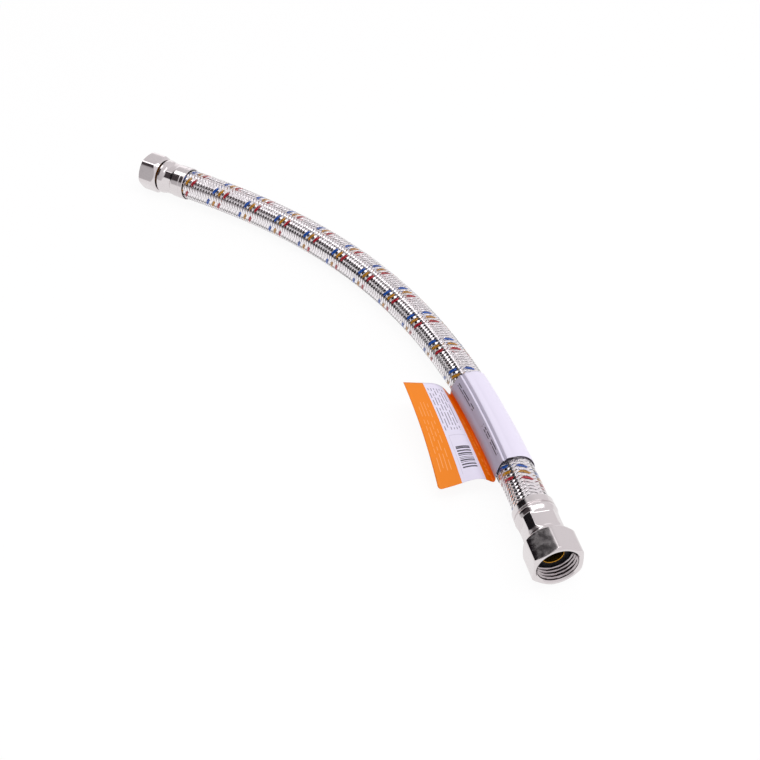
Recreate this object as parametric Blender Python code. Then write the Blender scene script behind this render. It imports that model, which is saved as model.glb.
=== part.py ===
"""Braided gas hose, 40 cm long over all, with a swivel nut on each end.

Units are metres and +Z is up. The stiff hose lies on a flat surface at Z = 0, on its belly and on
a flat of the rear nut, and holds its front end just clear of the surface. -Y is the front, where
the larger nut is. The origin is at the middle of the bounding box, on the surface. Along each end,
t is the distance outwards from the end of the hose that is seen, where the ferrule's lip starts.
"""
import math

import bpy
import numpy as np
from mathutils import Matrix, Vector

MM = 0.001
GAP = 0.3 * MM                    # clearance between pieces that touch on the real hose

# The hose, from the outside in: clear jacket, wire braid, rubber tube, stem of the insert
HOSE_RADIUS = 9.35 * MM
JACKET_WALL = 0.7 * MM
BRAID_WALL = 0.9 * MM
RUBBER_WALL = 1.25 * MM
STEM_WALL = 0.5 * MM

# The front end, with the nut 24 mm across flats
FRONT_FERRULE_LENGTH = 21.0 * MM
FRONT_NUT_GAP = 0.4 * MM          # between ferrule and nut
FRONT_NUT_LENGTH = 15.6 * MM
FRONT_NUT_WALL = 2.1 * MM         # between thread and flats
FRONT_NUT_BACK_WALL = 3.5 * MM
FRONT_NUT_BACK_CHAMFER = 2.4 * MM
FRONT_CORNER_CUT = 0.15 * MM      # off each corner of the hexagon
FRONT_NUT_TURN = 30               # degrees from lying on a flat, so that a corner points down

# The rear end, with the nut 22 mm across flats
REAR_FERRULE_LENGTH = 19.2 * MM
REAR_NUT_GAP = 1.4 * MM
REAR_NUT_LENGTH = 12.4 * MM
REAR_NUT_WALL = 1.1 * MM
REAR_NUT_BACK_WALL = 2.7 * MM
REAR_NUT_BACK_CHAMFER = 2.6 * MM
REAR_CORNER_CUT = 0.4 * MM
REAR_NUT_TURN = 0

# Shared by both ends
THREAD_RADIUS = 9.9 * MM          # mean radius of the half-inch pipe thread, 20.96 mm outside
FLANGE_THICKNESS = 1.9 * MM
GASKET_THICKNESS = 1.9 * MM
LIP_HEIGHT = 0.4 * MM             # of the insert's lip above the gasket that it shows through
LIP_WALL = 0.6 * MM
NECK_WALL = 1.5 * MM
NECK_CLEARANCE = 0.4 * MM         # between the insert's neck and the nut that turns on it
COLLAR_HEIGHT = 0.6 * MM
COLLAR_LENGTH = 1.3 * MM
STEM_START = 2.0 * MM
BARB_HEIGHT = 0.3 * MM
BARBS = 3
JACKET_IN_FERRULE = 8.6 * MM      # the jacket is peeled off from there on, for the crimp
FERRULE_WALL = 1.15 * MM          # over the jacket
CRIMP_WALL = 0.7 * MM             # over the bare braid, in the middle of a crimped flat
CRIMP_WALL_ROUND = 1.7 * MM       # there, between the flats, on the front ferrule
REAR_CRIMP_WALL_ROUND = 1.25 * MM
NARROW_FLAT = 25                  # degrees, each of four narrow flats between the four broad ones
FRONT_NARROW_FLAT = 131.7         # degrees, where the middle of one of them is
REAR_NARROW_FLAT = 46
CRIMP_STEP = 0.6 * MM             # from the jacket's end to the crimp
FLAT_STEP = 0.4 * MM              # from the crimp's start to its flats
FERRULE_END_WALL = 1.9 * MM

# Outside of the ferrules
LIP_LENGTH = 1.1 * MM
LIP_STEP = 0.4 * MM               # of the lip below the ferrule's body
EDGE = 0.3 * MM                   # small chamfers and grooves
GROOVE_START = 3.6 * MM
GROOVE_DEPTH = 0.55 * MM
NECK_WALL_OVER_BRAID = 0.5 * MM
NECK_TAPER = 3.0 * MM
REAR_BODY_WALL = 0.6 * MM         # over the jacket
REAR_FLARE_WALL = 2.0 * MM        # over the braid
REAR_FLARE_LENGTH = 4.6 * MM
REAR_FLARE_RIM = 1.5 * MM

# Outside of the nuts
NUT_RIM_STEP = 0.1 * MM           # of the round front face below the flats
NUT_BACK_STEP = 0.6 * MM          # of the round back face
CHAMFER_ANGLE = 30
HEXAGON_OVERHANG = 5 * MM

ROUND_SIDES = 48
TUBE_RESOLUTION = 4               # gives the hose's layers 12 sides
TUBE_STEP = 1.9                   # diameters between the points of the hose's line
SPLINE_STEPS = 40                 # between two points of its route
TANGENT_STEP = 5 * MM

# What follows from those
OVER_JACKET = HOSE_RADIUS + GAP
BRAID_RADIUS = HOSE_RADIUS - JACKET_WALL - GAP
OVER_BRAID = BRAID_RADIUS + GAP
RUBBER_RADIUS = BRAID_RADIUS - BRAID_WALL - GAP
STEM_RADIUS = RUBBER_RADIUS - RUBBER_WALL - GAP
BORE_RADIUS = STEM_RADIUS - STEM_WALL
NECK_RADIUS = BORE_RADIUS + NECK_WALL
COLLAR_RADIUS = NECK_RADIUS + COLLAR_HEIGHT
LIP_RADIUS = BORE_RADIUS + LIP_WALL

# The label: one strip wrapped round the hose, with its ends left standing as a flag
LABEL_THICKNESS = 0.25 * MM
LABEL_START = 258.3 * MM          # along the hose from its rear end
LABEL_WIDTH = 67.4 * MM
LABEL_FOLD = 92                   # degrees from the top of the hose, where the strip leaves it
LABEL_TAIL = 121                  # degrees from the top, where the strip's end is stuck down
LABEL_ROWS = 8
WRAP_STEP = 15                    # degrees between points round the hose
FLAG_POINTS = 12
# The flag's edges, as (out from the hose's side, up from the floor, along the hose) from its
# root beside the hose to its free edge: it stands up towards the rear and lies low in front.
FLAG_REAR_EDGE = [Vector(point) * MM for point in [
    (1.25, 6.6, -0.6), (3.85, 10.0, -1.8), (15.45, 16.0, -4.0), (26.65, 20.0, -3.6)]]
FLAG_FRONT_EDGE = [Vector(point) * MM for point in [
    (1.15, 6.4, -0.8), (4.85, 8.7, -1.0), (18.15, 8.5, -1.6), (29.35, 7.0, -1.1)]]

# The route of the hose between the ferrules' lips, from the rear end to the front one, with
# about 17 mm between points. The rear end rises to the axis of its nut, which lies on a flat, and
# the front end stands higher, so that its nut is free to lie at any angle.
ROUTE = [Vector(point) * MM for point in [
    (-91.0, 143.6, 11.00), (-76.1, 135.1, 10.74), (-61.5, 126.6, 10.18), (-47.2, 117.6, 9.61),
    (-33.2, 107.5, 9.37), (-19.6, 96.5, 9.35), (-6.6, 84.8, 9.35), (5.8, 72.5, 9.35),
    (17.5, 59.6, 9.35), (28.5, 46.0, 9.35), (38.8, 31.9, 9.35), (48.3, 17.2, 9.37),
    (57.0, 1.9, 9.50), (64.9, -14.0, 9.78), (72.1, -30.1, 9.95), (78.6, -46.2, 9.97),
    (84.5, -62.7, 9.97), (89.8, -79.6, 10.20), (94.5, -97.3, 11.30), (98.7, -115.5, 12.90),
    (102.8, -133.2, 13.90)]]
REAR_DIRECTION = Vector((-0.867, 0.498, 0)).normalized()
FRONT_DIRECTION = Vector((0.240, -0.971, 0)).normalized()


def smooth_route(points, start_tangent, end_tangent, count):
    """Points at equal steps along the cubic spline through the given points."""
    knots = np.array(points)
    steps = np.linalg.norm(np.diff(knots, axis=0), axis=1)
    size = len(knots)
    matrix = np.zeros((size, size))
    right_side = np.zeros((size, 3))
    matrix[0, 0] = matrix[-1, -1] = 1
    right_side[0] = start_tangent
    right_side[-1] = end_tangent
    for i in range(1, size - 1):
        before, after = steps[i - 1], steps[i]
        matrix[i, i - 1:i + 2] = after, 2 * (before + after), before
        right_side[i] = 3 * (after * (knots[i] - knots[i - 1]) / before
                             + before * (knots[i + 1] - knots[i]) / after)
    slopes = np.linalg.solve(matrix, right_side)
    fine = []
    for i, step in enumerate(steps):
        for u in np.linspace(0, 1, SPLINE_STEPS, endpoint=False):
            fine.append((2 * u**3 - 3 * u**2 + 1) * knots[i] + (u**3 - 2 * u**2 + u) * step * slopes[i]
                        + (3 * u**2 - 2 * u**3) * knots[i + 1] + (u**3 - u**2) * step * slopes[i + 1])
    fine.append(knots[-1])
    fine = np.array(fine)
    along = np.concatenate([[0], np.cumsum(np.linalg.norm(np.diff(fine, axis=0), axis=1))])
    places = np.linspace(0, along[-1], count)
    return np.stack([np.interp(places, along, fine[:, k]) for k in range(3)], axis=1)


def material(name, colour, roughness, metallic=0.0):
    """A plain Principled material."""
    made = bpy.data.materials.new(name)
    made.use_nodes = True
    shader = made.node_tree.nodes["Principled BSDF"]
    shader.inputs["Base Color"].default_value = (*colour, 1)
    shader.inputs["Roughness"].default_value = roughness
    shader.inputs["Metallic"].default_value = metallic
    made.diffuse_color = (*colour, 1)
    return made


def add_object(name, data, look, parent=None):
    """Links a new object with its material, under its parent."""
    made = bpy.data.objects.new(name, data)
    data.materials.append(look)
    bpy.context.collection.objects.link(made)
    made.parent = parent
    return made


def turned(name, outline, look, parent, radius_at=None):
    """A ring-shaped piece turned about its parent's Z, from a closed outline of (t, radius) that
    runs outwards along its outer side and back along its bore."""
    vertices = []
    for t, radius in outline:
        for k in range(ROUND_SIDES):
            angle = 2 * math.pi * k / ROUND_SIDES
            r = radius_at(t, radius, angle) if radius_at else radius
            vertices.append((r * math.cos(angle), r * math.sin(angle), t))
    faces = []
    for i in range(len(outline)):
        j = (i + 1) % len(outline)
        for k in range(ROUND_SIDES):
            m = (k + 1) % ROUND_SIDES
            faces.append((i * ROUND_SIDES + k, i * ROUND_SIDES + m,
                          j * ROUND_SIDES + m, j * ROUND_SIDES + k))
    mesh = bpy.data.meshes.new(name)
    mesh.from_pydata(vertices, [], faces)
    mesh.shade_smooth()
    mesh.set_sharp_from_angle(angle=math.radians(30))
    return add_object(name, mesh, look, parent)


def hose_layer(name, outer, wall, rear_reach, front_reach, look, parent):
    """One layer of the hose: a tube along the route that reaches into both ferrules."""
    points = [LINE[0] + rear_reach * np.array(REAR_DIRECTION), *LINE,
              LINE[-1] + front_reach * np.array(FRONT_DIRECTION)]
    curve = bpy.data.curves.new(name, "CURVE")
    curve.dimensions = "3D"
    curve.bevel_depth = outer
    curve.bevel_resolution = TUBE_RESOLUTION
    spline = curve.splines.new("POLY")
    spline.points.add(len(points) - 1)
    for point, place in zip(spline.points, points):
        point.co = (*place, 1)
    layer = add_object(name, curve, look, parent)
    shell = layer.modifiers.new("wall", "SOLIDIFY")
    shell.thickness = wall
    shell.offset = -1
    return layer


def end_frame(name, place, direction, parent):
    """An empty with its Z outwards along an end of the hose and its Y upwards."""
    frame = bpy.data.objects.new(name, None)
    bpy.context.collection.objects.link(frame)
    frame.parent = parent
    up = Vector((0, 0, 1))
    axes = Matrix((up.cross(direction), up, direction)).transposed().to_4x4()
    frame.matrix_local = Matrix.Translation(place) @ axes
    return frame


def insert(name, ferrule_length, flange_start, look, parent):
    """The insert: a barbed stem in the rubber tube, a collar in the ferrule, a neck that the nut
    turns on, a flange that the nut pulls on, and a lip that the gasket sits round."""
    neck_start = ferrule_length - FERRULE_END_WALL - GAP
    collar_start = neck_start - COLLAR_LENGTH
    root = STEM_RADIUS - BARB_HEIGHT
    barb = (collar_start - STEM_START) / (BARBS + 1)
    flange_radius = THREAD_RADIUS - 2 * GAP
    flange_end = flange_start + FLANGE_THICKNESS
    lip_end = flange_end + GAP + GASKET_THICKNESS + LIP_HEIGHT
    outline = [(STEM_START, root)]
    for k in range(BARBS):
        crest = STEM_START + (k + 1) * barb
        outline += [(crest - BARB_HEIGHT, STEM_RADIUS), (crest, root)]
    outline += [(collar_start, root), (collar_start, COLLAR_RADIUS), (neck_start, COLLAR_RADIUS),
                (neck_start, NECK_RADIUS), (flange_start, NECK_RADIUS), (flange_start, flange_radius),
                (flange_end, flange_radius), (flange_end, LIP_RADIUS), (lip_end, LIP_RADIUS),
                (lip_end, BORE_RADIUS), (STEM_START, BORE_RADIUS)]
    return turned(name, outline, look, parent)


def gasket(name, flange_start, look, parent):
    """The flat rubber washer on the insert's flange."""
    start = flange_start + FLANGE_THICKNESS + GAP
    outer, inner = THREAD_RADIUS - GAP, LIP_RADIUS + GAP
    outline = [(start, outer), (start + GASKET_THICKNESS, outer),
               (start + GASKET_THICKNESS, inner), (start, inner)]
    return turned(name, outline, look, parent)


def nut(name, start, length, wall, corner_cut, back_wall, back_chamfer, turn, look, parent):
    """A hexagon nut with chamfered corners, a plain bore for the thread and a back wall that pulls
    on the insert's flange. At no turn, one of its flats faces down."""
    apothem = THREAD_RADIUS + wall
    corner = apothem * 2 / math.sqrt(3)
    blank = corner - corner_cut
    end = start + length
    rim = apothem - NUT_RIM_STEP
    countersink = wall / 2
    mouth = THREAD_RADIUS + countersink
    hole = NECK_RADIUS + NECK_CLEARANCE
    front_chamfer = (blank - rim) * math.tan(math.radians(CHAMFER_ANGLE))
    outline = [(start, apothem - NUT_BACK_STEP), (start + back_chamfer, blank),
               (end - front_chamfer, blank), (end, rim), (end, mouth),
               (end - countersink, THREAD_RADIUS), (start + back_wall, THREAD_RADIUS),
               (start + back_wall, hole), (start, hole)]
    made = turned(name, outline, look, parent)
    ring = [Vector((math.cos(a), math.sin(a), 0)) * corner
            for a in (math.radians(60 * k + turn) for k in range(6))]
    low, high = Vector((0, 0, start - HEXAGON_OVERHANG)), Vector((0, 0, end + HEXAGON_OVERHANG))
    prism = bpy.data.meshes.new(name + "_hexagon")
    prism.from_pydata([p + low for p in ring] + [p + high for p in ring], [],
                      [(k, (k + 1) % 6, (k + 1) % 6 + 6, k + 6) for k in range(6)]
                      + [tuple(range(5, -1, -1)), tuple(range(6, 12))])
    cutter = bpy.data.objects.new(name + "_hexagon", prism)
    bpy.context.collection.objects.link(cutter)
    cutter.parent = parent
    cutter.hide_render = True
    cutter.display_type = "WIRE"
    cut = made.modifiers.new("hexagon", "BOOLEAN")
    cut.operation = "INTERSECT"
    cut.object = cutter
    return made


def crimped(start, end, round_radius, narrow_turn):
    """Radius rule for a ferrule whose round body is pressed by four jaws. They leave four broad
    flats and four narrow ones between them, one of those at the given angle."""
    apothem = OVER_BRAID + CRIMP_WALL
    narrow_apothem = round_radius * math.cos(math.radians(NARROW_FLAT / 2))
    side = math.pi / 2

    def radius_at(t, radius, angle):
        if not start < t < end or radius < apothem:
            return radius
        off = abs((angle - math.radians(narrow_turn) + side / 2) % side - side / 2)
        return min(radius, narrow_apothem / math.cos(off), apothem / math.cos(side / 2 - off))
    return radius_at


def ferrule(name, outside, length, crimp_end, crimp_radius, narrow_turn, look, parent):
    """A steel sleeve over the end of the hose: wide over the jacket, tight over the bare braid
    where it is crimped, with an end wall round the insert's neck."""
    step = JACKET_IN_FERRULE + GAP
    hole = NECK_RADIUS + GAP
    shoulder = OVER_JACKET - OVER_BRAID
    bore = [(length, hole), (length - FERRULE_END_WALL, hole), (length - FERRULE_END_WALL, OVER_BRAID),
            (step + shoulder / 2, OVER_BRAID), (step, OVER_JACKET), (0, OVER_JACKET)]
    rule = crimped(JACKET_IN_FERRULE + CRIMP_STEP, crimp_end, crimp_radius, narrow_turn)
    return turned(name, outside + bore, look, parent, rule)


def front_ferrule(look, parent):
    """The front ferrule: a lip, a smooth collar, a groove, a bead, the crimp and a tapered neck."""
    collar = OVER_JACKET + FERRULE_WALL
    crimp = OVER_BRAID + CRIMP_WALL_ROUND
    neck = OVER_BRAID + NECK_WALL_OVER_BRAID
    length = FRONT_FERRULE_LENGTH
    crimp_start = JACKET_IN_FERRULE + CRIMP_STEP
    taper = length - NECK_TAPER
    outside = [(0, collar - LIP_STEP - EDGE), (EDGE, collar - LIP_STEP),
               (LIP_LENGTH, collar - LIP_STEP), (LIP_LENGTH + EDGE, collar - LIP_STEP - EDGE),
               (2 * LIP_LENGTH, collar), (GROOVE_START, collar),
               (GROOVE_START + GROOVE_DEPTH, collar - GROOVE_DEPTH),
               (GROOVE_START + 2 * GROOVE_DEPTH, collar - GROOVE_DEPTH),
               (GROOVE_START + 3 * GROOVE_DEPTH, collar), (JACKET_IN_FERRULE, collar),
               (crimp_start, crimp), (crimp_start + FLAT_STEP, crimp), (taper, crimp - EDGE),
               (length - NECK_TAPER / 2, neck + EDGE), (length, neck)]
    return ferrule("front_ferrule", outside, length, taper + EDGE, crimp, FRONT_NARROW_FLAT, look, parent)


def rear_ferrule(look, parent):
    """The rear ferrule: a lip, a plain body, the crimp, and an end flared towards the nut."""
    body = OVER_JACKET + REAR_BODY_WALL
    crimp = OVER_BRAID + REAR_CRIMP_WALL_ROUND
    flare = OVER_BRAID + REAR_FLARE_WALL
    length = REAR_FERRULE_LENGTH
    crimp_start = JACKET_IN_FERRULE + CRIMP_STEP
    groove = LIP_LENGTH + 2 * LIP_STEP
    flare_start = length - REAR_FLARE_LENGTH
    outside = [(0, body - EDGE), (EDGE, body), (groove, body), (groove + EDGE, body - EDGE),
               (groove + 2 * EDGE, body), (JACKET_IN_FERRULE, body), (crimp_start, crimp),
               (crimp_start + FLAT_STEP, crimp), (flare_start - EDGE, crimp), (flare_start, crimp),
               (length - REAR_FLARE_RIM, flare), (length - EDGE, flare), (length, flare - EDGE)]
    return ferrule("rear_ferrule", outside, length, flare_start - EDGE / 2, crimp, REAR_NARROW_FLAT,
                   look, parent)


def label(look, parent):
    """The label: a strip of film round the hose, from the fold on its left side over the top and
    underneath, and the flag that stands out from the fold."""
    radius = OVER_JACKET + LABEL_THICKNESS / 2
    along = np.concatenate([[0], np.cumsum(np.linalg.norm(np.diff(LINE, axis=0), axis=1))])
    turns = round((LABEL_FOLD - LABEL_TAIL + 360) / WRAP_STEP)
    wrap_angles = np.linspace(LABEL_FOLD, LABEL_TAIL - 360, turns + 1)
    vertices = []
    for row in range(LABEL_ROWS + 1):
        share = row / LABEL_ROWS
        place = LABEL_START + share * LABEL_WIDTH
        centre, ahead = (Vector([np.interp(s, along, LINE[:, k]) for k in range(3)])
                         for s in (place, place + TANGENT_STEP))
        forward = (ahead - centre).normalized()
        left = forward.cross(Vector((0, 0, 1))).normalized()
        up = left.cross(forward)
        wrap = [centre + radius * (math.cos(a) * up + math.sin(a) * left)
                for a in map(math.radians, wrap_angles)]
        edge = [rear.lerp(front, share) for rear, front in zip(FLAG_REAR_EDGE, FLAG_FRONT_EDGE)]
        edge = [Vector((*centre.xy, height)) + (HOSE_RADIUS + out) * left + shift * forward
                for out, height, shift in edge]
        fold_out = (edge[0] - wrap[0]).normalized()
        flag = smooth_route([wrap[0], *edge], fold_out, (edge[-1] - edge[-2]).normalized(), FLAG_POINTS)
        vertices += [*map(Vector, flag[:0:-1]), *wrap]
    width = len(vertices) // (LABEL_ROWS + 1)
    faces = [(r * width + k, r * width + k + 1, (r + 1) * width + k + 1, (r + 1) * width + k)
             for r in range(LABEL_ROWS) for k in range(width - 1)]
    mesh = bpy.data.meshes.new("label")
    mesh.from_pydata(vertices, [], faces)
    mesh.shade_smooth()
    made = add_object("label", mesh, look, parent)
    film = made.modifiers.new("film", "SOLIDIFY")
    film.thickness = LABEL_THICKNESS
    film.offset = 0
    return made


for old in list(bpy.data.objects):
    bpy.data.objects.remove(old, do_unlink=True)

route_length = sum((b - a).length for a, b in zip(ROUTE, ROUTE[1:]))
LINE = smooth_route(ROUTE, -REAR_DIRECTION, FRONT_DIRECTION,
                    1 + round(route_length / (TUBE_STEP * 2 * HOSE_RADIUS)))

clear = material("clear_vinyl", (0.80, 0.81, 0.83), 0.2)
steel_wire = material("steel_wire", (0.62, 0.60, 0.60), 0.3, 1.0)
black_rubber = material("black_rubber", (0.02, 0.02, 0.02), 0.6)
nickel = material("nickel_plate", (0.66, 0.63, 0.63), 0.2, 1.0)
brass = material("brass", (0.72, 0.45, 0.12), 0.25, 1.0)
film_white = material("label_film", (0.80, 0.78, 0.88), 0.4)

hose = bpy.data.objects.new("hose", None)
bpy.context.collection.objects.link(hose)
front_end = end_frame("front_end", LINE[-1], FRONT_DIRECTION, hose)
rear_end = end_frame("rear_end", LINE[0], REAR_DIRECTION, hose)

layer_ends = [length - FERRULE_END_WALL - 2 * GAP - COLLAR_LENGTH
              for length in (REAR_FERRULE_LENGTH, FRONT_FERRULE_LENGTH)]
hose_layer("clear_jacket", HOSE_RADIUS, JACKET_WALL, JACKET_IN_FERRULE, JACKET_IN_FERRULE, clear, hose)
hose_layer("wire_braid", BRAID_RADIUS, BRAID_WALL, *layer_ends, steel_wire, hose)
hose_layer("rubber_tube", RUBBER_RADIUS, RUBBER_WALL, *layer_ends, black_rubber, hose)

front_nut_start = FRONT_FERRULE_LENGTH + FRONT_NUT_GAP
front_flange_start = front_nut_start + FRONT_NUT_BACK_WALL + GAP
front_ferrule(nickel, front_end)
insert("front_insert", FRONT_FERRULE_LENGTH, front_flange_start, brass, front_end)
gasket("front_gasket", front_flange_start, black_rubber, front_end)
nut("front_nut", front_nut_start, FRONT_NUT_LENGTH, FRONT_NUT_WALL, FRONT_CORNER_CUT,
    FRONT_NUT_BACK_WALL, FRONT_NUT_BACK_CHAMFER, FRONT_NUT_TURN, nickel, front_end)

rear_nut_start = REAR_FERRULE_LENGTH + REAR_NUT_GAP
rear_flange_start = rear_nut_start + REAR_NUT_BACK_WALL + GAP
rear_ferrule(nickel, rear_end)
insert("rear_insert", REAR_FERRULE_LENGTH, rear_flange_start, brass, rear_end)
gasket("rear_gasket", rear_flange_start, black_rubber, rear_end)
nut("rear_nut", rear_nut_start, REAR_NUT_LENGTH, REAR_NUT_WALL, REAR_CORNER_CUT,
    REAR_NUT_BACK_WALL, REAR_NUT_BACK_CHAMFER, REAR_NUT_TURN, nickel, rear_end)

label(film_white, hose)
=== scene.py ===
"""The looks of a braided gas hose, 42 cm over its two swivel nuts, lying in a curve.

Metres, +Z up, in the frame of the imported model. The larger nut is at the front, towards -Y.
Along each end of the hose, t is the distance outwards from the ferrule's lip.
"""
import math

import bpy
import numpy as np
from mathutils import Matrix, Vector


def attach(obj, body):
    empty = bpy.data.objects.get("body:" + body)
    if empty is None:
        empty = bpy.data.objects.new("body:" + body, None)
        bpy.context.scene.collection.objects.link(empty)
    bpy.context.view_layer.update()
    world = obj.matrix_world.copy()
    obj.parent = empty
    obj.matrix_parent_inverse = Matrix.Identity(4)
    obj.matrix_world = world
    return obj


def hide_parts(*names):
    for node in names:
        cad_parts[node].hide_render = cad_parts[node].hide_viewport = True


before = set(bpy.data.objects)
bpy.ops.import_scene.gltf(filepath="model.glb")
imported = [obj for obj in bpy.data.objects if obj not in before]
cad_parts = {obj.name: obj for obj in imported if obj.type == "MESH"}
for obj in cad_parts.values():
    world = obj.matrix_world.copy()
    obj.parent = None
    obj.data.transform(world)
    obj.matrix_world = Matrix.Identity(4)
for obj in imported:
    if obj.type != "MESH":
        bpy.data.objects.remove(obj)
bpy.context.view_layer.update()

MM = 0.001

# The view: a long lens looks down at 43 degrees, from in front, at a spot beside the middle of the
# hose. Colours are shown as they are, without a film look.
CAMERA_AIM = Vector((30.35, -38.83, 9.35)) * MM
CAMERA_DISTANCE = 667 * MM
CAMERA_ELEVATION = math.radians(42.85)
FOCAL_PIXELS = 1248
IMAGE_PIXELS = 760
SENSOR = 36                       # mm across
NEAREST_SEEN = 10 * MM

lens = bpy.data.cameras.new("camera")
lens.sensor_width = SENSOR
lens.lens = SENSOR * FOCAL_PIXELS / IMAGE_PIXELS
lens.clip_start = NEAREST_SEEN
camera = bpy.data.objects.new("camera", lens)
bpy.context.scene.collection.objects.link(camera)
camera.rotation_euler = math.pi / 2 - CAMERA_ELEVATION, 0, 0
back = Vector((0, -math.cos(CAMERA_ELEVATION), math.sin(CAMERA_ELEVATION)))
camera.location = CAMERA_AIM + CAMERA_DISTANCE * back
bpy.context.scene.camera = camera
bpy.context.scene.view_settings.view_transform = "Standard"

# The studio that the plated metal mirrors: pale walls, dimmer at the left, with dark and bright
# patches. Only camera rays get plain white instead. Transmission rays keep the studio, because the
# braid's own mirrored light passes out through the clear jacket as those.
DARK = [                          # azimuth, elevation, full and fading radius in degrees, and colour
    (186, 38, 18, 24, "#463F42"),
    (160, 20, 21, 29, "#1C191C")]
BRIGHT = [                        # the same, and the light that is added there
    (149, 56, 8, 14, 1.5),
    (97, 6, 8, 24, 0.5)]
WALL_COLOUR = "#EFECEE"
DIM_SIDE = 0.66                   # of the light at the far left, compared with the right
DIM_END = 0.35                    # where the dimming ends, from -1 at the left to 1 at the right


def colour(code):
    """An sRGB hex colour as linear red, green, blue and alpha."""
    parts = [int(code[k:k + 2], 16) / 255 for k in (1, 3, 5)]
    return (*(c / 12.92 if c <= 0.04045 else ((c + 0.055) / 1.055) ** 2.4 for c in parts), 1)


def add(tree, kind, sockets=None, **settings):
    """Adds a node. A socket's value is a number or colour, or the output that is linked to it."""
    made = tree.nodes.new(kind)
    for name, value in settings.items():
        setattr(made, name, value)
    for key, value in (sockets or {}).items():
        if isinstance(value, bpy.types.NodeSocket):
            tree.links.new(value, made.inputs[key])
        else:
            made.inputs[key].default_value = value
    return made


def blend(tree, share, under, over):
    """The colour that a share of one laid over another gives. A Mix node has its colours at 6, 7 and 2."""
    return add(tree, "ShaderNodeMix", {0: share, 6: under, 7: over}, data_type="RGBA").outputs[2]


def patch(azimuth, elevation, inner, outer):
    """1 within a cone about a direction of the sky and 0 outside a wider one."""
    a, e = math.radians(azimuth), math.radians(elevation)
    axis = (math.cos(e) * math.cos(a), math.cos(e) * math.sin(a), math.sin(e))
    towards = add(tree, "ShaderNodeVectorMath", {0: ways.outputs["Generated"], 1: axis},
                  operation="DOT_PRODUCT")
    return add(tree, "ShaderNodeMapRange", {
        "Value": towards.outputs["Value"], "From Min": math.cos(math.radians(outer)),
        "From Max": math.cos(math.radians(inner))}, interpolation_type="SMOOTHSTEP").outputs[0]


world = bpy.data.worlds.new("studio")
bpy.context.scene.world = world
world.use_nodes = True
tree = world.node_tree
tree.nodes.clear()
ways = add(tree, "ShaderNodeTexCoord")
white, wall = colour("#FFFFFF"), colour(WALL_COLOUR)
sideways = add(tree, "ShaderNodeSeparateXYZ", {0: ways.outputs["Generated"]}).outputs[0]
rightwards = add(tree, "ShaderNodeMapRange", {
    "Value": sideways, "From Min": -1.0, "From Max": DIM_END, "To Min": DIM_SIDE},
    interpolation_type="SMOOTHSTEP")
dimmed = add(tree, "ShaderNodeVectorMath", {0: wall[:3], "Scale": rightwards.outputs[0]}, operation="SCALE")
shades = dimmed.outputs[0]
for *place, extra in BRIGHT:
    shades = blend(tree, patch(*place), shades, (*(c + extra for c in wall[:3]), 1))
for *place, code in DARK:
    shades = blend(tree, patch(*place), shades, colour(code))
rays = add(tree, "ShaderNodeLightPath")
seen = blend(tree, rays.outputs["Is Camera Ray"], shades, white)
sky = add(tree, "ShaderNodeBackground", {"Color": seen, "Strength": 1.0})
add(tree, "ShaderNodeOutputWorld", {"Surface": sky.outputs[0]})

# The floor: a sheet of white paper that takes the hose's shadow. Where it is looked at, straight or by
# way of metal or the jacket, it glows besides, so that it has no edge against the white behind it.
FLOOR_SIZE = 8.0
FLOOR_GLOW = 1.02
GLOW_SHARE = 0.9                  # the rest is the paper, with its shadow


def calculate(tree, operation, *values):
    """A calculation on numbers or on the outputs of nodes."""
    return add(tree, "ShaderNodeMath", dict(enumerate(values)), operation=operation).outputs[0]


white_paper = bpy.data.materials.new("white_paper_sheet")
white_paper.use_nodes = True
tree = white_paper.node_tree
tree.nodes.clear()
# Paper is matt and a little off white
matt = add(tree, "ShaderNodeBsdfDiffuse", {"Color": colour("#F4F2F3")})
glow = add(tree, "ShaderNodeEmission", {"Color": white, "Strength": FLOOR_GLOW})
rays = add(tree, "ShaderNodeLightPath")
looked_at = rays.outputs["Is Camera Ray"]
for kind in ("Is Glossy Ray", "Is Transmission Ray"):
    looked_at = calculate(tree, "MAXIMUM", looked_at, rays.outputs[kind])
glowing = calculate(tree, "MULTIPLY", looked_at, GLOW_SHARE)
sheet = add(tree, "ShaderNodeMixShader", {0: glowing, 1: matt.outputs[0], 2: glow.outputs[0]})
add(tree, "ShaderNodeOutputMaterial", {"Surface": sheet.outputs[0]})

half = FLOOR_SIZE / 2
corners = [(-half, -half, 0), (half, -half, 0), (half, half, 0), (-half, half, 0)]
sheet_mesh = bpy.data.meshes.new("floor")
sheet_mesh.from_pydata(corners, [], [(0, 1, 2, 3)])
sheet_mesh.materials.append(white_paper)
floor = bpy.data.objects.new("floor", sheet_mesh)
bpy.context.scene.collection.objects.link(floor)

# The lamp: one long soft box overhead, square to the hose's front end. It gives the shadow underneath
# and the long bright streaks on the nickel.
LAMP_PLACE = (0.22, -0.13, 0.9)
LAMP_SIZE = (1.0, 0.3)
LAMP_TURN = math.radians(14)
LAMP_WATTS = 2.6

lamp = bpy.data.lights.new("overhead", "AREA")
lamp.shape = "RECTANGLE"
lamp.size, lamp.size_y = LAMP_SIZE
lamp.energy = LAMP_WATTS
light = bpy.data.objects.new("overhead", lamp)
bpy.context.scene.collection.objects.link(light)
light.location = LAMP_PLACE
light.rotation_euler = 0, 0, LAMP_TURN

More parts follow.
